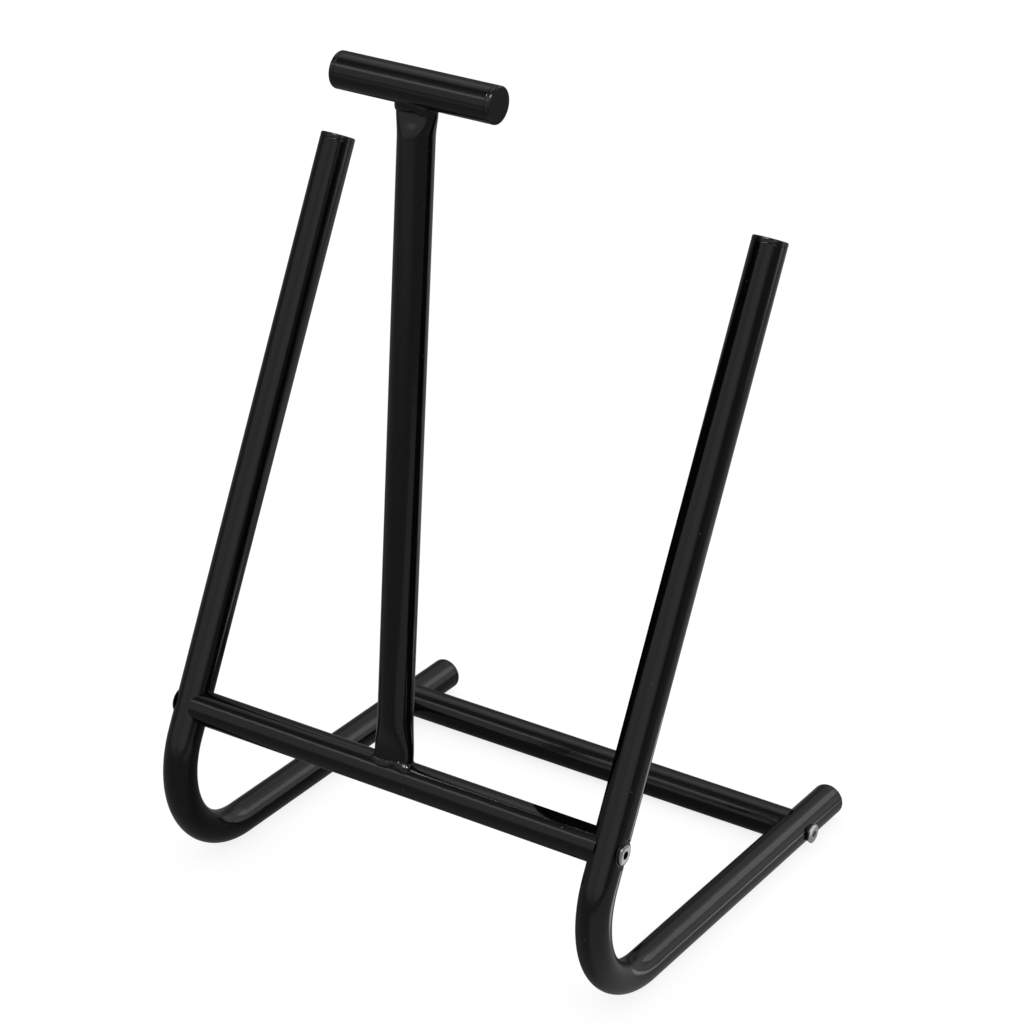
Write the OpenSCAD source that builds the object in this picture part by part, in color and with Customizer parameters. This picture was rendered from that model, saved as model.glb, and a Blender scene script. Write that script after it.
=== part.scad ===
// Boot rack for one pair: two bent side tubes with leaning uprights, two bolted cross rails,
// and a centre post with a T-handle, its pressed flat ends welded to the front rail and the handle.
// Millimetres, +Z up, uprights leaning towards +Y. The origin is on the floor, under the middle of the rack.

/* [Frame] */
// Distance between the axes of the two side tubes
side_spacing = 348; // [260:2:440]
// Height of the front rail above the floor runners, axis to axis
rail_rise = 120; // [114:1:160]
// Distance from the front rail back to the rear rail, axis to axis
rail_pitch = 280; // [200:1:340]
// Length of runner behind the rear rail's axis, cap included
runner_tail = 52.5; // [36:0.5:90]
// Lean of the uprights from the vertical, in degrees
upright_lean = 25; // [12:1:27]
// Height of the upright ends above the floor runners' axes, cap included
upright_rise = 500; // [260:5:560]

/* [Tube] */
// Outer diameter of every tube
tube_d = 25; // [22:0.5:27]
// Wall thickness of the tubes
tube_wall = 1.5; // [1:0.1:2]
// Radius of the bend between runner and upright, to the tube's axis
bend_r = 70; // [50:1:74]
// Narrowing of the tube's radius through the bend, as bending draws it down
bend_draw = 0.1; // [0.08:0.01:0.2]

/* [Post and handle] */
// Height of the handle above the floor runners, axis to axis
handle_rise = 611; // [400:0.5:700]
// Length of the handle over its caps
handle_len = 122; // [90:1:160]
// Lean of the post from the vertical, in degrees
post_lean = 2; // [0:0.5:5]
// Width of the post's pressed ends, along the handle
press_width = 30; // [26:0.5:32]
// Depth of the post's pressed ends, across the handle
press_depth = 12.6; // [11:0.2:18]
// Length over which the post goes from round to its pressed shape
press_run = 30; // [20:1:50]
// Leg length of the weld beads where they are fullest
weld_leg = 4.2; // [2:0.1:4.6]

/* [End caps] */
// Thickness of a cap's flange
cap_flange = 3.5; // [2:0.1:5]
// Rounding of the flange's rim
cap_round = 1.2; // [0.4:0.1:1.8]
// Length of a cap's plug inside the tube
plug_len = 14; // [8:0.5:20]
// Wall thickness of the plug
plug_wall = 1.6; // [1:0.1:2.5]
// Gap between the plug's barrel and the tube, bridged by the fins
plug_gap = 0.7; // [0.3:0.05:1]
// Number of fins on a plug
plug_fins = 3; // [2:1:5]
// Thickness of a fin
fin_t = 1; // [0.6:0.1:1.5]

/* [Bolts] */
// Diameter of the bolt's shank
bolt_d = 8; // [7:0.5:8]
// Diameter of the bolt's head
head_d = 14.5; // [13:0.5:16]
// Height of the bolt's head
head_h = 1.9; // [1.6:0.1:3]
// Height of the sloping rim round the head's face
rim_h = 0.6; // [0.2:0.1:1.2]
// Width of that rim
rim_w = 1.8; // [0.6:0.1:2.2]
// Width of the hexagon socket across its flats
socket_af = 5; // [4:0.5:5.5]
// Depth of the hexagon socket
socket_deep = 3; // [1.5:0.1:4]
// Chamfer at the shank's tip
tip_chamfer = 1; // [0.5:0.1:1.5]
// Diameter of the hollowed washer under a rear bolt's head
saddle_d = 13; // [12:0.5:16]
// Thickness of that washer at its thinnest
saddle_t = 1.5; // [0.6:0.1:2]
// Depth of the seat pressed into the side tube under a front bolt's head
seat_deep = 2; // [1:0.1:2.5]
// Diameter of the flat washer in the pressed seat
washer_d = 19.2; // [16:0.2:20]
// Thickness of the flat washer
washer_t = 0.6; // [0.4:0.1:1.2]
// Length of the threaded insert in the rail's end
insert_len = 16; // [10:0.5:24]
// Distance from the side tube's wall to the insert
insert_set = 0.4; // [0.2:0.1:2]

/* [Clearances] */
// Radial gap of a bolt in the tube's holes and in the washer
hole_gap = 0.25; // [0.1:0.05:0.5]
// Radial gap between bolt and insert
thread_gap = 0.08; // [0.05:0.01:0.15]
// Gap between a shaped end and the tube that it sits on
seat_gap = 0.08; // [0.05:0.01:0.2]
// Radial gap of the fins and inserts in a tube
fit_gap = 0.06; // [0.03:0.01:0.12]
// Radial gap of the flat washer in its pressed seat
washer_gap = 0.2; // [0.1:0.05:0.4]
// Distance from the side tube's middle plane to the blunt tips of a rail's shaped end
rail_blunt = 5; // [4:0.5:7]

/* [Hidden] */
$fn = 144;

tube_r = tube_d / 2;
bore_r = tube_r - tube_wall;
side_x = side_spacing / 2;
runner_z = tube_r;
rail_z = runner_z + rail_rise;

// The side tube bends from the runner through a right angle and the lean, and laps into both straights
bend_angle = 90 + upright_lean;
bend_tangent = bend_r / tan((90 - upright_lean) / 2);
bend_lap = 1;
corner_to_rail = rail_rise * tan(upright_lean);

// Places along Y are measured from the front rail, then moved to centre the rack on the origin
bend_y = bend_tangent - corner_to_rail;
rack_front = bend_y - bend_r - tube_r + bend_draw;
rack_rear = rail_pitch + runner_tail;
front_y = -(rack_front + rack_rear) / 2;
rear_y = front_y + rail_pitch;
upright_len = upright_rise / cos(upright_lean) - cap_flange;
runner_end = front_y + rack_rear - cap_flange;

post_len = (handle_rise - rail_rise) / cos(post_lean);
handle_y = front_y + post_len * sin(post_lean);
handle_z = runner_z + handle_rise;
handle_tube_len = handle_len - 2 * cap_flange;

// The pressed shape is held where the weld reaches, then eases out to the round tube
press_half = [press_width / 2, press_depth / 2];
press_hold = tube_r + weld_leg;
press_sides = 60;
press_steps = 6;
press_flat_share = 0.4;
post_foot = sqrt(tube_r * tube_r - press_half.y * press_half.y) / 2;

// A weld bead is full round the front, left and rear of the post, and dies away on its right
weld_rings = 60;
weld_sides = 10;
weld_thin_share = 0.25;
weld_throat_share = 0.8;
weld_fade_shares = [0.55, 0.85];
weld_ripple_shares = [0.13, 0.07];
weld_ripple_counts = [11, 17];
weld_root = weld_leg / 4;
weld_arc = [100, -60];

// Both pairs of bolts are one length, set by the front pair, whose heads sit lower
seat_r = washer_d / 2 + washer_gap;
seat_floor = tube_r - seat_deep;
front_head = seat_floor + washer_t;
rear_head = tube_r + saddle_t;
bolt_len = front_head + tube_r + insert_set + insert_len - tip_chamfer;
insert_x = side_x - tube_r - insert_set - insert_len;
overrun = tube_r;

tube_black = "#161616";
plastic_black = "#1f1f1f";
weld_black = "#1b1b1b";
zinc = "#b9bcbe";
steel = "#8b8e90";

// A solid bar along Z, or a tube where a bore is given
module bar(len, r, bore = 0) {
  difference() {
    cylinder(h = len, r = r);
    if (bore > 0)
      translate([0, 0, -overrun]) cylinder(h = len + 2 * overrun, r = bore);
  }
}

// Places children at the bend's centre, in the plane X = 0
module at_bend() {
  translate([0, front_y + bend_y, runner_z + bend_r]) children();
}

// Places children on the upright's axis, with Z up along it from the end of the bend
module along_upright() {
  at_bend() rotate([-upright_lean, 0, 0]) translate([0, -bend_r, 0]) children();
}

// The solid form of the side tube in the plane X = 0; extra lengthens both of its ends
module side_form(r, extra = 0) {
  along_upright() cylinder(h = upright_len - bend_tangent + extra, r = r);
  at_bend() rotate([0, 90, 180]) rotate([0, 0, -bend_lap])
    rotate_extrude(angle = bend_angle + 2 * bend_lap) translate([bend_r, 0]) circle(r = r - bend_draw);
  at_bend() translate([0, 0, -bend_r]) rotate([-90, 0, 0])
    cylinder(h = runner_end - front_y - bend_y + extra, r = r);
}

// A hole right through the side tube for a bolt
module bolt_hole(y, z) {
  translate([-tube_r - overrun, y, z]) rotate([0, 90, 0])
    cylinder(h = tube_d + 2 * overrun, r = bolt_d / 2 + hole_gap);
}

// The room above a level of the pressed seat, on the rack's outer side of the side tube
module seat_room(side, level, r) {
  translate([side * level, front_y, rail_z]) rotate([0, side * 90, 0]) cylinder(h = tube_r, r = r);
}

module side_tube(side) {
  color(tube_black) translate([side * side_x, 0, 0]) difference() {
    side_form(tube_r);
    difference() {
      side_form(bore_r, overrun);
      seat_room(side, seat_floor - tube_wall, seat_r + tube_wall);
    }
    seat_room(side, seat_floor, seat_r);
    bolt_hole(front_y, rail_z);
    bolt_hole(rear_y, runner_z);
  }
}

// A cross rail whose ends are cut to sit round the side tubes, which lean by the angle given
module rail(y, z, lean) {
  rail_half = side_x - rail_blunt;
  color(tube_black) difference() {
    translate([-rail_half, y, z]) rotate([0, 90, 0]) bar(2 * rail_half, tube_r, bore_r);
    for (side = [-1, 1])
      translate([side * side_x, y, z]) rotate([-lean, 0, 0])
        cylinder(h = 4 * tube_d, r = tube_r + seat_gap, center = true);
  }
}

// Share of the pressed shape that the post has at a height from its nearer end
function press_share(h) =
  let (t = min(1, max(0, (h - press_hold) / press_run))) 1 - t * t * (3 - 2 * t);

// Half width and half depth of the post at a height from the rail's axis
function post_half(h) =
  let (s = press_share(min(h, post_len - h))) [tube_r, tube_r] * (1 - s) + press_half * s;

// A point round the post's section: flat front and back, joined by round sides
function pressed_point(half, a) =
  let (t = min(1, max(-1, cos(a) / press_flat_share)))
  [(half.x - half.y) * sin(90 * t) + half.y * cos(a), half.y * sin(a)];

function pressed_ring(half, z) =
  [for (a = [0:360 / press_sides:359]) concat(pressed_point(half, a), [z])];

// Heights of the post's rings above the rail's axis, from its foot to the handle
function post_heights(extra) = concat(
  [post_foot - extra],
  [for (i = [0:press_steps]) press_hold + press_run * i / press_steps],
  [for (i = [press_steps:-1:0]) post_len - press_hold - press_run * i / press_steps],
  [post_len - post_foot + extra]
);

// The four corners between two rings of n points, as two triangles
function ring_faces(low, high, i, n) =
  let (j = (i + 1) % n)
  [[low * n + i, high * n + i, high * n + j], [low * n + i, high * n + j, low * n + j]];

// Joins rings of points into a form with flat ends, or into a closed loop
module loft(rings, loop = false) {
  n = len(rings[0]);
  count = len(rings);
  sides = [
    for (k = [0:count - (loop ? 1 : 2)], i = [0:n - 1])
      for (face = ring_faces(k, (k + 1) % count, i, n)) face
  ];
  ends = loop ? [] : [
    [for (i = [0:n - 1]) i],
    [for (i = [n - 1:-1:0]) (count - 1) * n + i]
  ];
  polyhedron(points = [for (ring = rings, p = ring) p], faces = concat(sides, ends), convexity = 6);
}

// The post's form in its own frame, with Z up from the rail's axis
module post_form(inset, extra = 0) {
  loft([for (h = post_heights(extra)) pressed_ring(post_half(h) - [inset, inset], h)]);
}

// Places children on the post's axis, with Z up along it from the rail's axis
module along_post() {
  translate([0, front_y, rail_z]) rotate([-post_lean, 0, 0]) children();
}

// The tube that crosses the post at a height, with room for the seat
module cross_tube(h) {
  translate([-press_width, 0, h]) rotate([0, 90, 0])
    cylinder(h = 2 * press_width, r = tube_r + seat_gap);
}

module centre_post() {
  color(tube_black) along_post() difference() {
    post_form(0);
    post_form(tube_wall, post_foot);
    cross_tube(0);
    cross_tube(post_len);
  }
}

// A point of the seam between the pressed end and the tube across it, at an angle round the post
function seam_point(a) =
  let (p = pressed_point(press_half, a)) [p.x, p.y, sqrt(tube_r * tube_r - p.y * p.y)];

// Share of its full size that the bead has at an angle round the post
function bead_share(a) =
  let (t = min(1, max(0, (cos(a) - weld_fade_shares[0]) / (weld_fade_shares[1] - weld_fade_shares[0]))))
  1 - (1 - weld_thin_share) * t * t * (3 - 2 * t);

// The bead's leg swells and shrinks round the seam, as a hand-laid weld does
function bead_leg(a) =
  weld_leg * bead_share(a) * (1 + weld_ripple_shares[0] * sin(weld_ripple_counts[0] * a)
    + weld_ripple_shares[1] * sin(weld_ripple_counts[1] * a));

// One ring of the bead, square to the seam's run: an arc over the seam, closed by a point behind it
function bead_ring(a) =
  let (p = seam_point(a), run = seam_point(a + 1) - seam_point(a - 1), out = [run.y, -run.x, 0],
    n = out / norm(out), count = weld_sides - 2)
  concat(
    [for (i = [0:count])
      let (b = weld_arc[0] + (weld_arc[1] - weld_arc[0]) * i / count,
        r = bead_leg(a) * (1 - (1 - weld_throat_share) * sin(180 * i / count)))
      p + r * (cos(b) * n + [0, 0, sin(b)])],
    [p - weld_root * (n + [0, 0, 1])]
  );

// The weld bead round the post's foot, in the post's frame
module weld_bead() {
  difference() {
    loft([for (a = [0:360 / weld_rings:359]) bead_ring(a)], true);
    cross_tube(0);
    linear_extrude(height = 2 * press_hold)
      polygon([for (a = [0:360 / press_sides:359]) pressed_point(press_half + [seat_gap, seat_gap], a)]);
  }
}

module post_weld() {
  color(weld_black) along_post() weld_bead();
}

module handle_weld() {
  color(weld_black) along_post() translate([0, 0, post_len]) rotate([180, 0, 0]) weld_bead();
}

module handle_tube() {
  color(tube_black) translate([-handle_tube_len / 2, handle_y, handle_z]) rotate([0, 90, 0])
    bar(handle_tube_len, tube_r, bore_r);
}

// An end cap with its flange on top of a tube that ends at Z = 0, and its finned plug below
module end_cap() {
  plug_r = bore_r - plug_gap;
  fin_pitch = plug_len / (plug_fins + 1);
  color(plastic_black) rotate_extrude() {
    square([tube_r - cap_round, cap_flange]);
    square([tube_r, cap_flange - cap_round]);
    translate([tube_r - cap_round, cap_flange - cap_round]) circle(r = cap_round);
    translate([plug_r - plug_wall, -plug_len]) square([plug_wall, plug_len]);
    for (i = [1:plug_fins])
      translate([plug_r - plug_wall, -i * fin_pitch - fin_t / 2])
        square([plug_wall + plug_gap - fit_gap, fin_t]);
  }
}

module handle_cap(side) {
  translate([side * handle_tube_len / 2, handle_y, handle_z]) rotate([0, side * 90, 0]) end_cap();
}

module runner_cap(side) {
  translate([side * side_x, runner_end, runner_z]) rotate([-90, 0, 0]) end_cap();
}

module upright_cap(side) {
  translate([side * side_x, 0, 0]) along_upright() translate([0, 0, upright_len - bend_tangent]) end_cap();
}

// A bolt with its head above Z = 0 and its shank below
module bolt() {
  shank_r = bolt_d / 2;
  head_r = head_d / 2;
  color(zinc) difference() {
    rotate_extrude() polygon([
      [0, -bolt_len], [shank_r - tip_chamfer, -bolt_len], [shank_r, -bolt_len + tip_chamfer],
      [shank_r, 0], [head_r, 0], [head_r, head_h - rim_h],
      [head_r - rim_w, head_h], [0, head_h]
    ]);
    translate([0, 0, head_h - socket_deep])
      linear_extrude(height = head_h) circle(d = socket_af / cos(30), $fn = 6);
  }
}

// Places a bolt with the underside of its head at a distance from the side tube's axis
module side_bolt(side, head, y, z) {
  translate([side * (side_x + head), y, z]) rotate([0, side * 90, 0]) bolt();
}

// A bar about a bolt's axis, between two distances from the side tube's axis
module washer_bar(side, low, high, r, y, z) {
  translate([side * (side_x + low), y, z]) rotate([0, side * 90, 0]) cylinder(h = high - low, r = r);
}

// The flat washer on the floor of the pressed seat
module front_saddle(side) {
  color(plastic_black) difference() {
    washer_bar(side, seat_floor, front_head, washer_d / 2, front_y, rail_z);
    washer_bar(side, 0, tube_d, bolt_d / 2 + hole_gap, front_y, rail_z);
  }
}

// The thicker washer under a rear bolt's head, hollowed to sit on the round runner
module rear_saddle(side) {
  color(plastic_black) difference() {
    washer_bar(side, 0, rear_head, saddle_d / 2, rear_y, runner_z);
    translate([side * side_x, rear_y, runner_z]) rotate([90, 0, 0])
      cylinder(h = 2 * tube_d, r = tube_r + seat_gap, center = true);
    washer_bar(side, 0, tube_d, bolt_d / 2 + hole_gap, rear_y, runner_z);
  }
}

module insert(side, y, z) {
  color(steel) translate([side * insert_x, y, z]) rotate([0, side * 90, 0])
    bar(insert_len, bore_r - fit_gap, bolt_d / 2 + thread_gap);
}

side_tube(-1);  // left_side_tube
side_tube(1);  // right_side_tube
rail(front_y, rail_z, upright_lean);  // front_rail
rail(rear_y, runner_z, 90);  // rear_rail
centre_post();
handle_tube();
post_weld();
handle_weld();
handle_cap(-1);  // handle_cap_left
handle_cap(1);  // handle_cap_right
runner_cap(-1);  // runner_cap_left
runner_cap(1);  // runner_cap_right
upright_cap(-1);  // upright_cap_left
upright_cap(1);  // upright_cap_right
side_bolt(-1, front_head, front_y, rail_z);  // front_bolt_left
side_bolt(1, front_head, front_y, rail_z);  // front_bolt_right
side_bolt(-1, rear_head, rear_y, runner_z);  // rear_bolt_left
side_bolt(1, rear_head, rear_y, runner_z);  // rear_bolt_right
front_saddle(-1);  // front_saddle_left
front_saddle(1);  // front_saddle_right
rear_saddle(-1);  // rear_saddle_left
rear_saddle(1);  // rear_saddle_right
insert(-1, front_y, rail_z);  // front_insert_left
insert(1, front_y, rail_z);  // front_insert_right
insert(-1, rear_y, runner_z);  // rear_insert_left
insert(1, rear_y, runner_z);  // rear_insert_right
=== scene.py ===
from functools import partial
import math

import bmesh
import bpy
from mathutils import Matrix, Vector, noise


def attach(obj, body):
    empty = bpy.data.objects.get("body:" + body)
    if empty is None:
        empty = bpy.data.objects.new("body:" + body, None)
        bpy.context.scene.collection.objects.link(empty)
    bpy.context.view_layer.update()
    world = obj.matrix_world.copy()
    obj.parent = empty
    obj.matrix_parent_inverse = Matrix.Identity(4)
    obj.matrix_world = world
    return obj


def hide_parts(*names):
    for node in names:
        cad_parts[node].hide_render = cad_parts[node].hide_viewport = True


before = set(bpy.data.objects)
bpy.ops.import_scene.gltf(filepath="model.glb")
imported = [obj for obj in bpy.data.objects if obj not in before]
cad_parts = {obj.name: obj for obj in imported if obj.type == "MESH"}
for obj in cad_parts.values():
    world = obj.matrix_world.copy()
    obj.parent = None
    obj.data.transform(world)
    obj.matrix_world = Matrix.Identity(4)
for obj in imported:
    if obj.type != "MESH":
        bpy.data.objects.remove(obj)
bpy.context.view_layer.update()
print("frame loaded:", len(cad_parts), "nodes")

# The rack's own sizes in metres, the same ones that its solids are made from
rack = {"sideSpacing": 0.348, "railRise": 0.120, "railPitch": 0.280, "runnerTail": 0.0525,
        "uprightLean": math.radians(25), "uprightRise": 0.500, "seatGap": 0.00008}
# The bend is drawn a little thinner, and the draw sets in over its first and last sixth
tube = {"radius": 0.0125, "wall": 0.0015, "bendRadius": 0.070, "bendDraw": 0.0001, "drawRise": 6,
        "sides": 144, "runnerRings": 12, "bendRings": 72, "uprightRings": 20,
        "endRound": 0.0004, "endSettle": 0.0012, "endSteps": 4}

across = Vector((1, 0, 0))
back = Vector((0, 1, 0))
up = Vector((0, 0, 1))
sideX = rack["sideSpacing"] / 2
runnerZ = tube["radius"]
railZ = runnerZ + rack["railRise"]
lean = rack["uprightLean"]
bendTangent = tube["bendRadius"] / math.tan((math.pi / 2 - lean) / 2)
bendFromRail = bendTangent - rack["railRise"] * math.tan(lean)
rackFront = bendFromRail - tube["bendRadius"] - tube["radius"] + tube["bendDraw"]
rackRear = rack["railPitch"] + rack["runnerTail"]
frontY = -(rackFront + rackRear) / 2
rearY = frontY + rack["railPitch"]
bendCentre = Vector((0, frontY + bendFromRail, runnerZ + tube["bendRadius"]))
uprightAxis = Vector((0, math.sin(lean), math.cos(lean)))


# Meshes

def smoothStep(value):
    t = min(1, max(0, value))
    return t * t * (3 - 2 * t)


def turnsOf(sides):
    return [2 * math.pi * i / sides for i in range(sides)]


def circlePoints(centre, a, b, radius, sides):
    turn = 2 * math.pi / sides
    return [centre + radius * (math.cos(i * turn) * a + math.sin(i * turn) * b) for i in range(sides)]


# Joins rings of points into one closed skin, either end to end or with a flat face on each end
def ringSkin(rings, loop=True):
    built = bmesh.new()
    rows = [[built.verts.new(p) for p in ring] for ring in rings]
    following = rows[1:] + rows[:1] if loop else rows[1:]
    for low, high in zip(rows, following):
        for i in range(len(low)):
            j = (i + 1) % len(low)
            built.faces.new((low[i], low[j], high[j], high[i]))
    if not loop:
        built.faces.new(rows[0])
        built.faces.new(rows[-1])
    return built


def arcProfile(r, h, size, start, stop, steps):
    return [(r + size * math.cos(t), h + size * math.sin(t))
            for t in (start + (stop - start) * k / steps for k in range(steps + 1))]


# A turned form: profile points of (radius, height) about an axis, closed flat at both ends
def turnedSkin(base, axis, profile, sides):
    a = across if abs(axis.dot(across)) < 0.5 else back
    b = axis.cross(a)
    return ringSkin([circlePoints(base + axis * h, a, b, r, sides) for r, h in profile], loop=False)


def finishPiece(name, built, material, node, sharp=35):
    built.normal_update()
    bmesh.ops.recalc_face_normals(built, faces=built.faces)
    for face in built.faces:
        face.smooth = True
    for edge in built.edges:
        if len(edge.link_faces) == 2 and edge.calc_face_angle() > math.radians(sharp):
            edge.smooth = False
    mesh = bpy.data.meshes.new(name)
    built.to_mesh(mesh)
    built.free()
    mesh.materials.append(material)
    piece = bpy.data.objects.new(name, mesh)
    bpy.context.scene.collection.objects.link(piece)
    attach(piece, "root")
    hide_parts(node)
    return piece


# End caps: a flange with a rounded rim and a slightly dished face, and a hollow plug with fins
cap = {"flange": 0.0035, "round": 0.0012, "roundSteps": 8, "dishShare": 0.45, "dish": 0.00006,
       "relief": 0.00025, "lift": 0.00003, "plugLength": 0.014, "plugWall": 0.0016, "plugGap": 0.0007,
       "fins": 3, "finThickness": 0.001, "finTip": 0.6, "fitGap": 0.00006, "sides": 96, "faceCosine": 0.97}


def capProfile():
    radius, flange, lift = tube["radius"], cap["flange"], cap["lift"]
    barrel = radius - tube["wall"] - cap["plugGap"]
    tip = radius - tube["wall"] - cap["fitGap"]
    pitch = cap["plugLength"] / (cap["fins"] + 1)
    points = [(radius * cap["dishShare"], flange - cap["dish"])]
    points += arcProfile(radius - cap["round"], flange - cap["round"], cap["round"], math.pi / 2, 0,
                         cap["roundSteps"])
    points += [(radius, cap["relief"]), (radius - cap["relief"], lift), (barrel, lift)]
    for k in range(1, cap["fins"] + 1):
        middle, half = -k * pitch, cap["finThickness"] / 2
        narrow = half * cap["finTip"]
        points += [(barrel, middle + half), (tip, middle + narrow), (tip, middle - narrow),
                   (barrel, middle - half)]
    inner = barrel - cap["plugWall"]
    points += [(barrel, -cap["plugLength"]), (inner, -cap["plugLength"]), (inner, 0)]
    return points


# Side tubes: runner, bend and upright in one, with a seat pressed in under the front bolt
seat = {"radius": 0.0098, "depth": 0.002, "roll": 0.0012, "soft": 0.0003, "step": 0.0004, "length": 0.027}
seatFloor = tube["radius"] - seat["depth"]
runnerEnd = frontY + rackRear - cap["flange"]
uprightLength = rack["uprightRise"] / math.cos(lean) - cap["flange"] - bendTangent


# The stations at one end of a tube, where the paint eases its rim, from the full round to the end face
def easedEnd(station, inward):
    centre, a, b, radius = station
    size, steps = tube["endRound"], tube["endSteps"]
    turns = [math.pi / 2 * k / steps for k in range(steps + 1)]
    return [(centre + inward * size * (1 - math.sin(turn)), a, b, radius - size * (1 - math.cos(turn)))
            for turn in turns]


# A hollow tube along stations of (centre, side direction, other direction, radius)
def tubeSkin(stations, shape=None):
    first, last = stations[0], stations[-1]
    wall = tube["wall"]
    inward = (stations[1][0] - first[0]).normalized()
    outward = (last[0] - stations[-2][0]).normalized()
    outer = easedEnd(first, inward)[::-1]
    outer.append((first[0] + inward * tube["endSettle"], *first[1:]))
    outer += stations[1:-1]
    outer.append((last[0] - outward * tube["endSettle"], *last[1:]))
    outer += easedEnd(last, -outward)
    inner = [(centre, a, b, radius - wall) for centre, a, b, radius in reversed(stations)]
    skins = [[circlePoints(c, a, b, r, tube["sides"]) for c, a, b, r in rows] for rows in (outer, inner)]
    if shape:
        skins = [[[shape(p, inset) for p in ring] for ring in rows]
                 for rows, inset in zip(skins, (0, wall))]
    return ringSkin(skins[0] + skins[1])


# Presses the flat seat for a front bolt into the outer side of the side tube
def pressSeat(side, point, inset):
    away = math.hypot(point.y - frontY, point.z - railZ) - seat["radius"] - inset
    excess = side * point.x - sideX - seatFloor + inset
    push = (1 - smoothStep(away / seat["roll"])) * (excess + math.hypot(excess, seat["soft"])) / 2
    return point - across * side * push


def sideTubeStations(side):
    shift = across * side * sideX
    stations = []
    runnerStart = Vector((0, bendCentre.y, runnerZ))
    runnerStop = Vector((0, runnerEnd, runnerZ))
    count = tube["runnerRings"]
    for k in range(count + 1):
        stations.append((runnerStop.lerp(runnerStart, k / count) + shift, across, up, tube["radius"]))
    count = tube["bendRings"]
    for k in range(1, count + 1):
        turn = (math.pi / 2 + lean) * k / count
        outward = Vector((0, -math.sin(turn), -math.cos(turn)))
        draw = min(1, tube["drawRise"] * k / count, tube["drawRise"] * (count - k) / count)
        radius = tube["radius"] - tube["bendDraw"] * draw
        stations.append((bendCentre + outward * tube["bendRadius"] + shift, across, -outward, radius))
    start, normal = stations[-1][0], stations[-1][2]
    first = rack["railRise"] / math.cos(lean) - bendTangent - seat["length"] / 2
    steps = [first + seat["step"] * k for k in range(round(seat["length"] / seat["step"]) + 1)]
    count = tube["uprightRings"]
    steps += [steps[-1] + (uprightLength - steps[-1]) * k / count for k in range(1, count + 1)]
    for step in steps:
        stations.append((start + uprightAxis * step, across, normal, tube["radius"]))
    return stations


# Rails: tubes whose ends are coped to the side tubes, with blunt tips
rail = {"blunt": 0.005, "rings": 16}
copeRadius = tube["radius"] + rack["seatGap"]


# Distance from the side tube's axis at which a rail's wall ends, at a place across the rail.
# axisTurn is the side tube's lean from the vertical where the rail meets it
def copeReach(y, z, axisTurn):
    off = y * math.cos(axisTurn) - z * math.sin(axisTurn)
    return math.sqrt(max(copeRadius * copeRadius - off * off, 0))


def railSkin(y, z, axisTurn):
    rings = []
    for radius, ways in ((tube["radius"], 1), (tube["radius"] - tube["wall"], -1)):
        for k in range(rail["rings"] + 1):
            share = (2 * k / rail["rings"] - 1) * ways
            ring = []
            for turn in turnsOf(tube["sides"]):
                dy, dz = radius * math.cos(turn), radius * math.sin(turn)
                end = sideX - max(rail["blunt"], copeReach(dy, dz, axisTurn))
                ring.append(Vector((share * end, y + dy, z + dz)))
            rings.append(ring)
    return ringSkin(rings)


# Centre post and handle: the post is pressed flat at both ends and coped to the rail and to the handle
post = {"handleRise": 0.611, "lean": math.radians(2), "halfWidth": 0.015, "halfDepth": 0.0063,
        "flatShare": 0.4, "footHold": 0.0167, "footRun": 0.030, "topHold": 0.0145, "topRun": 0.018,
        "rings": 16}
handle = {"length": 0.122, "rings": 12}
postLength = (post["handleRise"] - rack["railRise"]) / math.cos(post["lean"])
postAxis = Vector((0, math.sin(post["lean"]), math.cos(post["lean"])))
postBack = postAxis.cross(across)
postFoot = Vector((0, frontY, railZ))
handleCentre = postFoot + postAxis * postLength
handleHalf = handle["length"] / 2 - cap["flange"]


def pressShare(height, hold, run):
    return 1 - smoothStep((height - hold) / run)


def postHalf(height):
    share = max(pressShare(height, post["footHold"], post["footRun"]),
                pressShare(postLength - height, post["topHold"], post["topRun"]))
    radius = tube["radius"]
    return (radius + (post["halfWidth"] - radius) * share, radius + (post["halfDepth"] - radius) * share)


# A place on the post's section: flat front and back, joined by round sides
def pressedPoint(wide, deep, turn):
    t = min(1, max(-1, math.cos(turn) / post["flatShare"]))
    return (wide - deep) * math.sin(math.pi / 2 * t) + deep * math.cos(turn), deep * math.sin(turn)


def postPoint(x, y, z):
    return postFoot + across * x + postBack * y + postAxis * z


# The post's wall from its coped foot to its coped top, round in the middle and pressed flat at both ends
def postSkin():
    count = post["rings"]
    heights = [post["footHold"] + post["footRun"] * k / count for k in range(count + 1)]
    start, stop = heights[-1], postLength - post["topHold"] - post["topRun"]
    heights += [start + (stop - start) * k / count for k in range(1, count)]
    heights += [postLength - post["topHold"] - post["topRun"] * k / count for k in range(count, -1, -1)]
    rings = []
    for inset, ways in ((0, 1), (tube["wall"], -1)):
        made = []
        for h in [0] + heights + [postLength]:
            wide, deep = postHalf(h)
            ring = []
            for turn in turnsOf(tube["sides"]):
                x, y = pressedPoint(wide - inset, deep - inset, turn)
                bed = math.sqrt(copeRadius * copeRadius - y * y)
                z = bed if h == 0 else postLength - bed if h == postLength else h
                ring.append(postPoint(x, y, z))
            made.append(ring)
        rings += made[::ways]
    return ringSkin(rings)


def handleSkin():
    count = handle["rings"]
    stations = [(handleCentre + across * handleHalf * (2 * k / count - 1), back, up, tube["radius"])
                for k in range(count + 1)]
    return tubeSkin(stations)


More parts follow.
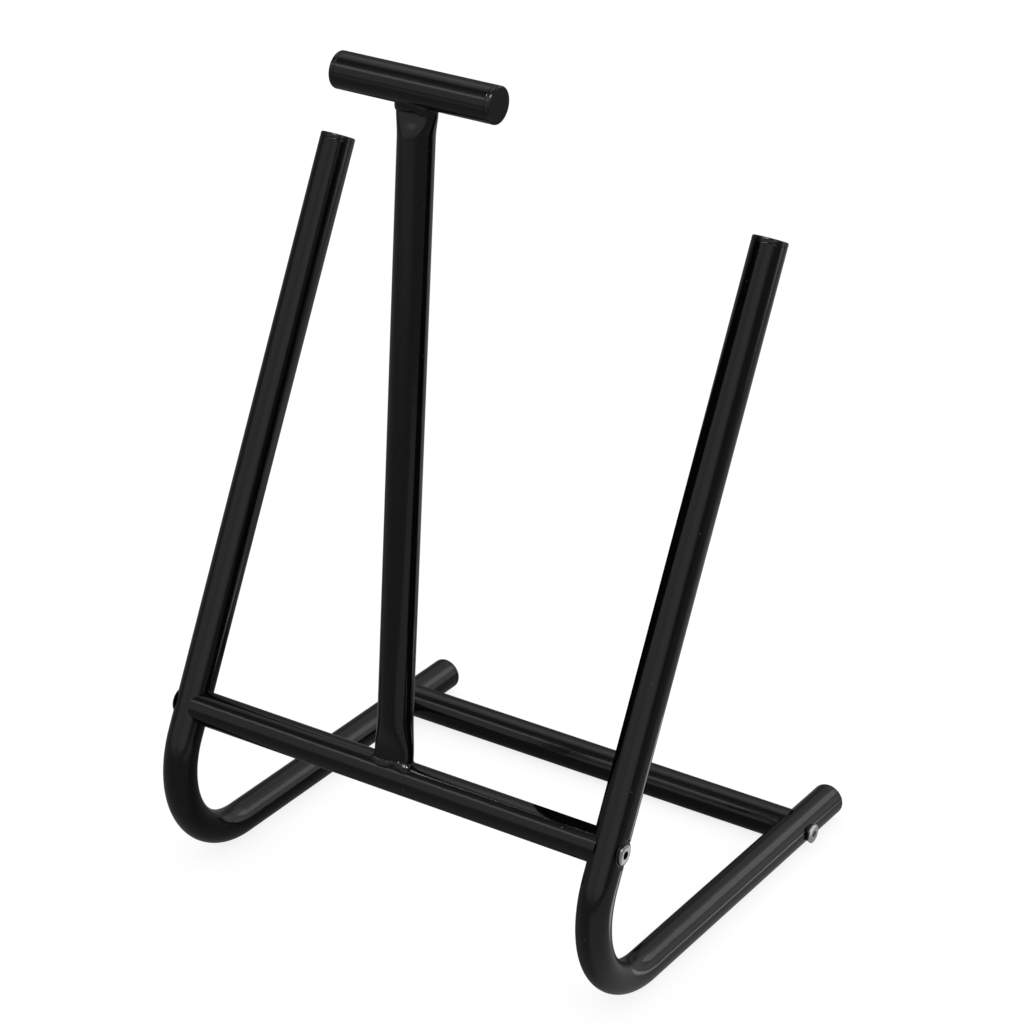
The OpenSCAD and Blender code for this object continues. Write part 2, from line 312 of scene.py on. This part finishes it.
# Welds: each bead has two runs, along the post's flat front and back, and hardly any weld at its narrow
# sides. Marks: degrees round the post from its right end, then the bead's legs on the post and on the
# tube, in mm
weld = {"rings": 480, "sides": 16, "lumps": 0.05, "ripples": 0.007, "pitch": 0.0032,
        "bulgeLumps": 0.08, "bulgeRipples": 0.02, "seedRadius": 2.6,
        "seedHeight": {"foot": 1.9, "top": 7.3}, "coarse": 2.0, "fine": 4.1, "fineShare": 0.5,
        "wander": 2.0, "wanderScale": 1.3,
        "turnStep": 0.02, "bury": 0.0004, "tubeBack": 0.0002, "wallBack": 0.0003, "markUnit": 0.001,
        "foot": [(0, 0.8, 0.8), (40, 0.8, 0.8), (62, 1.2, 1.2), (76, 3.2, 3.6), (92, 3.3, 3.2),
                 (104, 3.4, 4.1), (130, 2.9, 3.0), (150, 1.0, 0.9), (180, 0.7, 0.7), (205, 0.8, 0.7),
                 (220, 2.3, 2.6), (236, 2.8, 3.9), (248, 3.0, 3.2), (259, 3.0, 4.2), (268, 3.3, 4.0),
                 (275.5, 3.7, 2.0), (282, 4.1, 3.4), (291, 4.0, 4.6), (302, 3.7, 6.0), (312, 3.3, 5.2),
                 (322, 2.9, 4.2), (333, 2.0, 2.4), (345, 0.9, 1.0)],
        "top": [(0, 0.7, 0.7), (40, 0.8, 0.8), (64, 3.6, 2.8), (84, 4.4, 3.6), (100, 4.0, 3.2),
                (128, 4.6, 3.0), (146, 1.0, 0.9), (180, 0.7, 0.7), (206, 1.2, 0.7), (222, 4.2, 1.2),
                (240, 5.1, 1.7), (254, 4.9, 3.0), (265, 5.0, 3.9), (273, 4.4, 3.2), (280, 5.5, 2.6),
                (285, 5.2, 2.3), (291, 3.6, 1.8), (300, 1.0, 0.8)]}


def beadLegs(marks, degrees):
    marks = marks + [(marks[0][0] + 360, *marks[0][1:])]
    low, high = next(pair for pair in zip(marks, marks[1:]) if degrees <= pair[1][0])
    t = smoothStep((degrees - low[0]) / (high[0] - low[0]))
    return [(p + (q - p) * t) * weld["markUnit"] for p, q in zip(low[1:], high[1:])]


# A hand-laid weld round the post's foot or top: convex, lumpy and faintly rippled along its run
def weldSkin(end):
    radius = tube["radius"]
    rings = []
    for turn in turnsOf(weld["rings"]):
        x, y = pressedPoint(post["halfWidth"], post["halfDepth"], turn)
        (x1, y1), (x2, y2) = (pressedPoint(post["halfWidth"], post["halfDepth"], turn + step)
                              for step in (-weld["turnStep"], weld["turnStep"]))
        out = Vector((y2 - y1, x1 - x2, 0)).normalized()
        seed = Vector((weld["seedRadius"] * math.cos(turn), weld["seedRadius"] * math.sin(turn),
                       weld["seedHeight"][end]))
        lump = noise.noise(seed * weld["coarse"]) + weld["fineShare"] * noise.noise(seed * weld["fine"])
        wander = weld["wander"] * noise.noise(seed * weld["wanderScale"])
        ripple = math.sin(2 * math.pi * x / weld["pitch"] + wander)
        rough = 1 + weld["lumps"] * lump + weld["ripples"] * ripple
        onPost, onTube = (leg * rough for leg in beadLegs(weld[end], math.degrees(turn)))
        bulge = 1.0 + weld["bulgeLumps"] * lump + weld["bulgeRipples"] * ripple
        angle = math.asin(y / radius)
        corner = Vector((x, y, radius * math.cos(angle)))
        wallToe = corner + Vector((0, 0, onPost))
        swung = angle + out.y * onTube / radius
        tubeToe = Vector((x + out.x * onTube, radius * math.sin(swung), radius * math.cos(swung)))
        control = corner + bulge * ((wallToe - corner) + (tubeToe - corner))
        inside = corner - out * weld["bury"] - Vector((0, 0, weld["bury"]))
        ring = []
        for i in range(weld["sides"]):
            t = i / (weld["sides"] - 1)
            ring.append(wallToe * (1 - t) ** 2 + control * 2 * t * (1 - t) + tubeToe * t * t)
        dip = Vector((0, 0, weld["wallBack"]))
        ring.append(tubeToe * 0.5 + inside * 0.5 - out * weld["tubeBack"] - dip)
        ring.append(inside)
        ring.append(wallToe * 0.5 + inside * 0.5 - out * weld["wallBack"])
        rings.append([postPoint(p.x, p.y, postLength - p.z if end == "top" else p.z) for p in ring])
    return ringSkin(rings)


# Bolts: a low head with a sloping rim, turned outside, with a hexagon socket sunk in its face
bolt = {"shank": 0.004, "head": 0.00725, "height": 0.0019, "rimHeight": 0.0006, "rimWidth": 0.0018,
        "socket": 0.0025, "socketDepth": 0.003, "lipShare": 1.09, "lipDepth": 0.0002,
        "length": 0.039, "tip": 0.001, "edgeRound": 0.00018, "underSteps": 4, "rimSteps": 8,
        "faceRound": 0.003, "faceSteps": 6, "sides": 96}
# Front washers are flat, on the floor of the pressed seat; rear saddles are hollowed to the round runner
washer = {"radius": 0.0096, "thickness": 0.0006, "edgeRound": 0.00012}
saddle = {"radius": 0.0065, "hole": 0.00425, "thickness": 0.0015, "edgeRound": 0.00012, "sides": 96}
headLevels = {"front": seatFloor + washer["thickness"], "rear": tube["radius"] + saddle["thickness"]}


def boltSkin(side, level, y, z):
    base, axis = Vector((side * (sideX + level), y, z)), across * side
    a, b = back, axis.cross(back)
    sides, top, ease, soft = bolt["sides"], bolt["height"], bolt["edgeRound"], bolt["faceRound"]
    length, slope = bolt["length"], math.atan2(bolt["rimWidth"], bolt["rimHeight"])
    shoulder = top - bolt["rimHeight"] - ease * math.tan(slope / 2)
    flat = bolt["head"] - bolt["rimWidth"] - soft * math.tan((math.pi / 2 - slope) / 2)
    outline = [(bolt["shank"] - bolt["tip"], -length), (bolt["shank"], bolt["tip"] - length),
               (bolt["shank"], 0)]
    outline += arcProfile(bolt["head"] - ease, ease, ease, -math.pi / 2, 0, bolt["underSteps"])
    outline += arcProfile(bolt["head"] - ease, shoulder, ease, 0, slope, bolt["rimSteps"])
    outline += arcProfile(flat, top - soft, soft, slope, math.pi / 2, bolt["faceSteps"])
    rings = [circlePoints(base + axis * h, a, b, r, sides) for r, h in outline]
    for share, depth in ((bolt["lipShare"], 0), (1, bolt["lipDepth"]), (1, bolt["socketDepth"])):
        ring = []
        for turn in turnsOf(sides):
            corner = (turn % (math.pi / 3)) - math.pi / 6
            r = share * bolt["socket"] / math.cos(corner)
            ring.append(base + axis * (top - depth) + r * (math.cos(turn) * a + math.sin(turn) * b))
        rings.append(ring)
    return ringSkin(rings, loop=False)


def saddleSkin(side):
    top, ease = sideX + headLevels["rear"], saddle["edgeRound"]
    rings = []
    for radius, ways in ((saddle["radius"], 1), (saddle["hole"], -1)):
        low, mid, high = [], [], []
        inner = 1 - ways * ease / radius
        for turn in turnsOf(saddle["sides"]):
            dy, dz = radius * math.cos(turn), radius * math.sin(turn)
            low.append(Vector((side * (sideX + copeReach(dy, dz, math.pi / 2)), rearY + dy, runnerZ + dz)))
            mid.append(Vector((side * (top - ease), rearY + dy, runnerZ + dz)))
            high.append(Vector((side * top, rearY + dy * inner, runnerZ + dz * inner)))
        rings += [low, mid, high][::ways]
    return ringSkin(rings)


def washerSkin(side):
    low, high, ease = sideX + seatFloor, sideX + headLevels["front"], washer["edgeRound"]
    profile = [(saddle["hole"], low), (washer["radius"], low), (washer["radius"], high - ease),
               (washer["radius"] - ease, high), (saddle["hole"], high)]
    return ringSkin([circlePoints(Vector((side * x, frontY, railZ)), back, up, r, saddle["sides"])
                     for r, x in profile])


# Materials

class Wire:  # an output socket; sums on its value add Math nodes
    def __init__(self, tree, socket=None):
        self.tree = tree
        self.socket = socket

    # Sets the inputs of a node, or links them
    def plug(self, node, inputs):
        for name, value in inputs.items():
            if isinstance(value, Wire):
                self.tree.links.new(value.socket, node.inputs[name])
            else:
                node.inputs[name].default_value = value

    def node(self, kind, settings=None, inputs=None, output=0):
        made = self.tree.nodes.new(kind)
        for name, value in (settings or {}).items():
            if name == "stops":
                for element, (place, level) in zip(made.color_ramp.elements, value):
                    element.position = place
                    element.color = (level, level, level, 1)
            else:
                setattr(made, name, value)
        self.plug(made, inputs or {})
        return Wire(self.tree, made.outputs[output])

    # Another output of the node that this socket is on
    def also(self, output):
        return Wire(self.tree, self.socket.node.outputs[output])

    def maths(self, operation, *values):
        return self.node("ShaderNodeMath", {"operation": operation}, dict(enumerate(values)))

    def __add__(self, other):
        return self.maths("ADD", self, other)

    def __radd__(self, other):
        return self.maths("ADD", other, self)

    def __sub__(self, other):
        return self.maths("SUBTRACT", self, other)

    def __rsub__(self, other):
        return self.maths("SUBTRACT", other, self)

    def __mul__(self, other):
        return self.maths("MULTIPLY", self, other)

    def __rmul__(self, other):
        return self.maths("MULTIPLY", other, self)

    def __gt__(self, other):
        return self.maths("GREATER_THAN", self, other)

    def __lt__(self, other):
        return self.maths("LESS_THAN", self, other)


def newMaterial(name):
    material = bpy.data.materials.new(name)
    material.use_nodes = True
    wire = Wire(material.node_tree)
    return material, wire, wire.node("ShaderNodeTexCoord", output="Object")


# Plugs a material's own shader and gives its output
def principled(wire, inputs):
    shader = wire.tree.nodes["Principled BSDF"]
    wire.plug(shader, inputs)
    return Wire(wire.tree, shader.outputs[0])


def grey(level, tint=0.0):
    return (level * (1 - tint), level, level * (1 + tint), 1)


def mixColour(wire, share, low, high):
    return wire.node("ShaderNodeMix", {"data_type": "RGBA"}, {0: share, 6: low, 7: high}, 2)


def cloudy(wire, place, scale, detail, roughness=0.5):
    return wire.node("ShaderNodeTexNoise", {},
                     {"Vector": place, "Scale": scale, "Detail": detail, "Roughness": roughness})


def bumpy(wire, strength, distance, height, under=None):
    inputs = {"Strength": strength, "Distance": distance, "Height": height}
    if under:
        inputs["Normal"] = under
    return wire.node("ShaderNodeBump", {}, inputs)


# Gloss paint: smeared here and there, with dust nibs, orange peel and a slow wave
paint = {"colour": 0.0012, "worn": 0.0022, "tint": 0.03, "ior": 1.5, "roughness": 0.12,
         "smear": 0.10, "smearScale": 24, "smearBreak": 0.6, "fine": 0.03, "fineScale": 900,
         "nibScale": 240, "nibSize": 0.07, "nibChance": 0.95, "nibLevel": 0.16, "nibRoughness": 0.4,
         "peel": 0.035, "peelScale": 520, "peelDepth": 0.0006, "wave": 0.05, "waveScale": 70,
         "waveDepth": 0.003}


def glossPaint(name, extraWave=1.0):
    material, wire, place = newMaterial(name)
    smear = cloudy(wire, place, paint["smearScale"], detail=5, roughness=paint["smearBreak"])
    fine = cloudy(wire, place, paint["fineScale"], detail=2)
    dust = wire.node("ShaderNodeTexVoronoi", {"feature": "F1"},
                     {"Vector": place, "Scale": paint["nibScale"]})
    chance = wire.node("ShaderNodeSeparateColor", {}, {"Color": dust.also("Color")}, "Red")
    nibs = (chance > paint["nibChance"]) * (dust < paint["nibSize"])
    shade = mixColour(wire, smear, grey(paint["colour"], paint["tint"]), grey(paint["worn"], paint["tint"]))
    roughness = paint["roughness"] + paint["smear"] * (smear - 0.5) + paint["fine"] * fine
    peel = bumpy(wire, paint["peel"], paint["peelDepth"], cloudy(wire, place, paint["peelScale"], detail=1))
    wave = bumpy(wire, paint["wave"] * extraWave, paint["waveDepth"],
                 cloudy(wire, place, paint["waveScale"], detail=2), under=peel)
    principled(wire, {"Base Color": mixColour(wire, nibs, shade, grey(paint["nibLevel"])),
                      "Roughness": roughness + paint["nibRoughness"] * nibs, "Normal": wave,
                      "IOR": paint["ior"]})
    return material


# Moulded plastic: clouded black with a fine grain
plastic = {"colour": 0.003, "pale": 0.006, "cloudScale": 90, "cloudRoughness": 0.14,
           "grainScale": 2600, "grainDepth": 0.0002}


def satinPlastic(name, roughness, grain, specular=0.5):
    material, wire, place = newMaterial(name)
    cloud = cloudy(wire, place, plastic["cloudScale"], detail=4)
    pits = cloudy(wire, place, plastic["grainScale"], detail=2)
    principled(wire, {"Base Color": mixColour(wire, cloud, grey(plastic["colour"]), grey(plastic["pale"])),
                      "Roughness": roughness + plastic["cloudRoughness"] * (cloud - 0.5),
                      "Normal": bumpy(wire, grain, plastic["grainDepth"], pits),
                      "Specular IOR Level": specular})
    return material


# Zinc plate: turning marks, dull stains and fine spots. Its colour is darkened as a whole by a painted
# shade factor, and the socket gets a flat painted grey of its own, which is painted shade where it is dark
zinc = {"colour": 0.78, "colourTint": 0.015, "dull": 0.58, "dullTint": 0.02, "socket": 0.0031,
        "stainScale": 420, "stainBreak": 0.65, "stainStops": [(0.38, 0.0), (0.68, 1.0)],
        "roughness": 0.24, "stainRoughness": 0.16, "spotRoughness": 0.06, "spotScale": 1500,
        "turnPitch": 0.00035, "turnStrength": 0.25, "turnDepth": 0.00002, "spotHeight": 0.8}


# The marks run round the bolt's own axis, so each row of bolts has its material, and each row's plate and
# socket get their own painted shade
def zincPlate(name, y, z, shade, paintedSocketShade):
    material, wire, place = newMaterial(name)
    flat = wire.node("ShaderNodeVectorMath", {"operation": "MULTIPLY"}, {0: place, 1: (0, 1, 1)})
    radius = wire.node("ShaderNodeVectorMath", {"operation": "DISTANCE"}, {0: flat, 1: (0, y, z)}, "Value")
    marks = wire.maths("SINE", radius * (2 * math.pi / zinc["turnPitch"]))
    cloud = cloudy(wire, place, zinc["stainScale"], detail=5, roughness=zinc["stainBreak"])
    spots = cloudy(wire, place, zinc["spotScale"], detail=3)
    stain = wire.node("ShaderNodeValToRGB", {"stops": zinc["stainStops"]}, {"Fac": cloud})
    # Painted shade: both plate greys are scaled down by the shade factor
    colour = mixColour(wire, stain, grey(shade * zinc["colour"], zinc["colourTint"]),
                       grey(shade * zinc["dull"], zinc["dullTint"]))
    roughness = zinc["roughness"] + zinc["stainRoughness"] * (cloud - 0.5) + zinc["spotRoughness"] * spots
    height = marks + zinc["spotHeight"] * spots
    # Painted shade in the socket: within the socket's reach of the bolt's axis, the colour is swapped for
    # the socket's flat grey
    principled(wire, {"Base Color": mixColour(wire, radius < zinc["socket"], colour, grey(paintedSocketShade)),
                      "Metallic": 1.0, "Roughness": roughness,
                      "Normal": bumpy(wire, zinc["turnStrength"], zinc["turnDepth"], height)})
    return material


tubePaint = glossPaint("glossBlackPaint")
weldPaint = glossPaint("glossBlackPaintOnWeld", extraWave=1.6)
capPlastic = satinPlastic("satinBlackPlastic", roughness=0.6, grain=0.3, specular=0.25)
rimPlastic = satinPlastic("smoothBlackPlastic", roughness=0.2, grain=0.08)
saddlePlastic = satinPlastic("mattBlackPlastic", roughness=0.5, grain=0.35, specular=0.25)
# Painted shade: the front bolts are painted at about half the zinc's grey, with near-black sockets; the
# rear ones a fifth darker than zinc, with sockets near the plate's grey; the hidden inserts at full grey
# with a mid-grey bore
frontZinc = zincPlate("zincPlateFront", frontY, railZ, shade=0.52, paintedSocketShade=0.05)
rearZinc = zincPlate("zincPlateRear", rearY, runnerZ, shade=0.8, paintedSocketShade=0.6)
insertSteel = zincPlate("turnedSteel", rearY, runnerZ, shade=1.0, paintedSocketShade=0.5)
print("materials made")

# The rack, piece by piece

for side, word in ((-1, "left"), (1, "right")):
    built = tubeSkin(sideTubeStations(side), partial(pressSeat, side))
    finishPiece(word + "SideTube", built, tubePaint, word + "_side_tube")
for name, built, node in (("frontRail", railSkin(frontY, railZ, lean), "front_rail"),
                          ("rearRail", railSkin(rearY, runnerZ, math.pi / 2), "rear_rail"),
                          ("centrePost", postSkin(), "centre_post"),
                          ("handleTube", handleSkin(), "handle_tube")):
    finishPiece(name, built, tubePaint, node)
finishPiece("postWeld", weldSkin("foot"), weldPaint, "post_weld", sharp=60)
finishPiece("handleWeld", weldSkin("top"), weldPaint, "handle_weld", sharp=60)
print("tubes and welds made")

uprightTop = bendCentre + Vector((0, -math.cos(lean), math.sin(lean))) * tube["bendRadius"]
uprightTop += uprightAxis * uprightLength
for side, word in ((-1, "Left"), (1, "Right")):
    low = word.lower()
    shift = across * side * sideX
    ends = (("handleCap", "handle_cap_", handleCentre + across * side * handleHalf, across * side),
            ("runnerCap", "runner_cap_", Vector((0, runnerEnd, runnerZ)) + shift, back),
            ("uprightCap", "upright_cap_", uprightTop + shift, uprightAxis))
    for name, node, base, axis in ends:
        built = turnedSkin(base, axis, capProfile(), cap["sides"])
        piece = finishPiece(name + word, built, capPlastic, node + low, sharp=25)
        piece.data.materials.append(rimPlastic)
        for face in piece.data.polygons:
            face.material_index = int(face.normal.dot(axis) < cap["faceCosine"])
    for name, y, z, under, metal in (("front", frontY, railZ, washerSkin, frontZinc),
                                     ("rear", rearY, runnerZ, saddleSkin, rearZinc)):
        finishPiece(name + "Bolt" + word, boltSkin(side, headLevels[name], y, z), metal,
                    name + "_bolt_" + low, sharp=28)
        finishPiece(name + "Saddle" + word, under(side), saddlePlastic,
                    name + "_saddle_" + low)
        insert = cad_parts[name + "_insert_" + low]
        insert.data.materials.clear()
        insert.data.materials.append(insertSteel)
print("caps, bolts and saddles made")

# The studio: a pale floor, a white room with soft pools of light in it, cards of light, a dark flag and the
# camera. Camera rays see white; what gloss sees of the room and the floor is set here, and what lights
# the rest

studio = {"room": 0.12, "fill": 0.75, "floor": 0.18, "floorShare": 0.70, "floorWhite": 1.19,
          "floorSize": 28, "floorDrop": 0.0004, "paper": 0.84, "palePaper": 0.87, "paperScale": 220,
          "paperRoughness": 0.9, "cardAim": (0, 0, 0.2)}

# Soft pools of light by compass turn from the far side towards +X, height, and reach, in degrees
pools = [
    {"turn": 27, "height": 20, "inner": 12, "outer": 40, "level": 0.42},
    {"turn": 42, "height": 8, "inner": 5, "outer": 18, "level": 0.22},
    {"turn": -12, "height": 50, "inner": 5, "outer": 36, "level": 0.32},
    {"turn": -60, "height": 54, "inner": 4, "outer": 23, "level": 0.48},
    {"turn": -152, "height": 18, "inner": 6, "outer": 44, "level": 0.40},
    {"turn": 150, "height": 12, "inner": 8, "outer": 34, "level": 0.50},
]

# Patches of the floor that gloss sees lighter or darker, painted light and shade in the floor's glow: a
# painted shadow of the rack under it, a painted strip of light beside the right runner and paler painted
# pools further out. Each patch: middle, half size, softness, level
paintedFloorPatches = [
    {"middle": (0, 0), "half": (0.20, 0.22), "soft": 0.08, "level": -0.09},
    {"middle": (0.27, 0.095), "half": (0.045, 0.165), "soft": 0.02, "level": 1.40},
    {"middle": (0.60, 0.0), "half": (0.44, 0.60), "soft": 0.05, "level": 0.20},
    {"middle": (0.7, 1.4), "half": (1.0, 1.2), "soft": 0.5, "level": 0.20},
    {"middle": (-1.5, -3.0), "half": (3.0, 2.0), "soft": 1.0, "level": 0.16},
]


def stageObject(name, built):
    mesh = bpy.data.meshes.new(name)
    built.to_mesh(mesh)
    built.free()
    plane = bpy.data.objects.new(name, mesh)
    bpy.context.scene.collection.objects.link(plane)
    return plane


def stagePlane(name, width, height):
    built = bmesh.new()
    bmesh.ops.create_grid(built, x_segments=4, y_segments=4, size=0.5)
    bmesh.ops.scale(built, vec=(width, height, 1), verts=built.verts)
    return stageObject(name, built)


def smooth(wire, value, low, high, level=1.0):
    return wire.node("ShaderNodeMapRange", {"interpolation_type": "SMOOTHSTEP"},
                     {0: value, 1: low, 2: high, 3: 0.0, 4: level})


# A level inside a rectangle about the middle, falling softly to 0 at its edge
def softRectangle(wire, place, middle, half, soft, level):
    split = wire.node("ShaderNodeSeparateXYZ", {}, {0: place})
    fall = level
    for index in (0, 1):
        off = wire.maths("ABSOLUTE", split.also(index) - middle[index])
        fall = fall * smooth(wire, off, half[index], half[index] - soft)
    return fall


# The rays that see white, from the camera or through glass, and those that see gloss
def pathRays(wire):
    seen = wire.node("ShaderNodeLightPath", output="Is Camera Ray")
    return seen + seen.also("Is Transmission Ray"), seen.also("Is Glossy Ray")


# Light of a grey level, which may be a wire
def glowing(wire, value, strength):
    shine = wire.node("ShaderNodeCombineColor", {}, {0: value, 1: value, 2: value})
    return wire.node("ShaderNodeEmission", {}, {"Color": shine, "Strength": strength})


def surface(wire, share, low, high):
    mix = wire.node("ShaderNodeMixShader", {}, {0: share, 1: low, 2: high})
    wire.plug(wire.tree.nodes["Material Output"], {"Surface": mix})


def studioFloor():
    floor = stagePlane("studioFloor", studio["floorSize"], studio["floorSize"])
    floor.location = (0, 0, -studio["floorDrop"])
    material, wire, place = newMaterial("studioFloorPaper")
    grain = cloudy(wire, place, studio["paperScale"], detail=3)
    colour = mixColour(wire, grain, grey(studio["paper"]), grey(studio["palePaper"]))
    paper = principled(wire, {"Base Color": colour, "Roughness": studio["paperRoughness"]})
    white, gloss = pathRays(wire)
    glow = studio["floor"]
    # Painted light and shadow: the patches add to the floor's glow in gloss
    for patch in paintedFloorPatches:
        glow = glow + softRectangle(wire, place, **patch)
    surface(wire, studio["floorShare"] * white + gloss, paper,
            glowing(wire, studio["floorWhite"] * white + gloss * glow, 1.0))
    floor.data.materials.append(material)


def compass(turn, height):
    turn, height = math.radians(turn), math.radians(height)
    return Vector((math.sin(turn) * math.cos(height), math.cos(turn) * math.cos(height), math.sin(height)))


def studioWorld():
    world = bpy.data.worlds.new("studioWorld")
    bpy.context.scene.world = world
    world.use_nodes = True
    wire = Wire(world.node_tree)
    way = wire.node("ShaderNodeTexCoord", output="Generated")
    room = studio["room"]
    for pool in pools:
        facing = wire.node("ShaderNodeVectorMath", {"operation": "DOT_PRODUCT"},
                           {0: way, 1: compass(pool["turn"], pool["height"])}, "Value")
        room = room + smooth(wire, facing, math.cos(math.radians(pool["outer"])),
                             math.cos(math.radians(pool["inner"])), pool["level"])
    white, gloss = pathRays(wire)
    rest = (1 - white) - gloss
    strength = white + gloss * room + rest * studio["fill"]
    wire.plug(world.node_tree.nodes["Background"], {"Color": (1, 1, 1, 1), "Strength": strength})


# Cards of light round the rack, by compass turn, height and distance; they are out of the camera's sight,
# and the last one only shows in gloss
cards = {
    "backRightCard": {"turn": 26, "height": 29, "distance": 2.7, "size": (1.25, 0.95), "soft": 0.07,
                      "level": 1.5},
    "frontLeftCard": {"turn": -146, "height": 40, "distance": 2.9, "size": (1.5, 0.65), "soft": 0.2,
                      "level": 1.7},
    "sideCard": {"turn": 105, "height": 38, "distance": 2.4, "size": (1.3, 1.3), "soft": 0.2, "level": 2.0},
    "rightCard": {"turn": 62, "height": 2, "distance": 1.9, "size": (0.6, 0.46), "soft": 0.05,
                  "level": 1.2},
    "glintCard": {"turn": 178, "height": 63, "distance": 2.6, "size": (1.3, 0.55), "soft": 0.03,
                  "level": 24.0, "lights": False},
}


def studioCards():
    for name, card in cards.items():
        plane = stagePlane(name, *card["size"])
        way = compass(card["turn"], card["height"])
        turned = way.to_track_quat("Z", "Y").to_matrix().to_4x4()
        middle = Vector(studio["cardAim"]) + way * card["distance"]
        plane.matrix_world = Matrix.Translation(middle) @ turned
        plane.visible_camera = False
        plane.visible_diffuse = card.get("lights", True)
        material, wire, place = newMaterial(name + "Light")
        half = (card["size"][0] / 2, card["size"][1] / 2)
        shine = softRectangle(wire, place, (0, 0), half, card["soft"], 1.0)
        surface(wire, shine, wire.node("ShaderNodeBsdfTransparent"), glowing(wire, shine, card["level"]))
        plane.data.materials.append(material)


# A dark flag right of the post, for the black stripe in its gloss. Its near edge slopes, and low down it
# is cut back to stand clear of the front rail
flag = {"x": 0.105, "low": (-0.186, -0.020, 0.02), "high": (-0.105, 0.000, 0.57), "rows": 12, "columns": 4,
        "railBack": -0.135, "railTop": 0.16, "felt": 0.001, "paleFelt": 0.004, "napScale": 60}


def studioFlag():
    built = bmesh.new()
    rows = []
    for k in range(flag["rows"] + 1):
        near, far, z = Vector(flag["low"]).lerp(Vector(flag["high"]), k / flag["rows"])
        if z < flag["railTop"]:
            near = flag["railBack"]
        places = [near + (far - near) * i / flag["columns"] for i in range(flag["columns"] + 1)]
        rows.append([built.verts.new((flag["x"], y, z)) for y in places])
    for below, above in zip(rows, rows[1:]):
        for i in range(flag["columns"]):
            built.faces.new((below[i], below[i + 1], above[i + 1], above[i]))
    plane = stageObject("darkFlag", built)
    for kind in ("camera", "diffuse", "shadow"):
        setattr(plane, "visible_" + kind, False)
    material, wire, place = newMaterial("darkFlagFelt")
    nap = cloudy(wire, place, flag["napScale"], detail=3)
    principled(wire, {"Base Color": mixColour(wire, nap, grey(flag["felt"]), grey(flag["paleFelt"])),
                      "Roughness": 1.0, "Specular IOR Level": 0.0})
    plane.data.materials.append(material)


view = {"place": (1.1062, -1.79085, 1.2715), "aim": (0, -0.00695, 0.2773), "roll": 1.73, "lens": 115.585,
        "sensor": 36}


def photoCamera():
    data = bpy.data.cameras.new("photoCamera")
    data.sensor_width = view["sensor"]
    data.lens = view["lens"]
    camera = bpy.data.objects.new("photoCamera", data)
    place = Vector(view["place"])
    aimed = (Vector(view["aim"]) - place).to_track_quat("-Z", "Y").to_matrix()
    rolled = aimed @ Matrix.Rotation(math.radians(view["roll"]), 3, "Z")
    camera.matrix_world = Matrix.Translation(place) @ rolled.to_4x4()
    bpy.context.scene.collection.objects.link(camera)
    bpy.context.scene.camera = camera


studioFloor()
studioWorld()
studioCards()
studioFlag()
photoCamera()
bpy.context.scene.view_settings.view_transform = "Standard"
print("studio made")
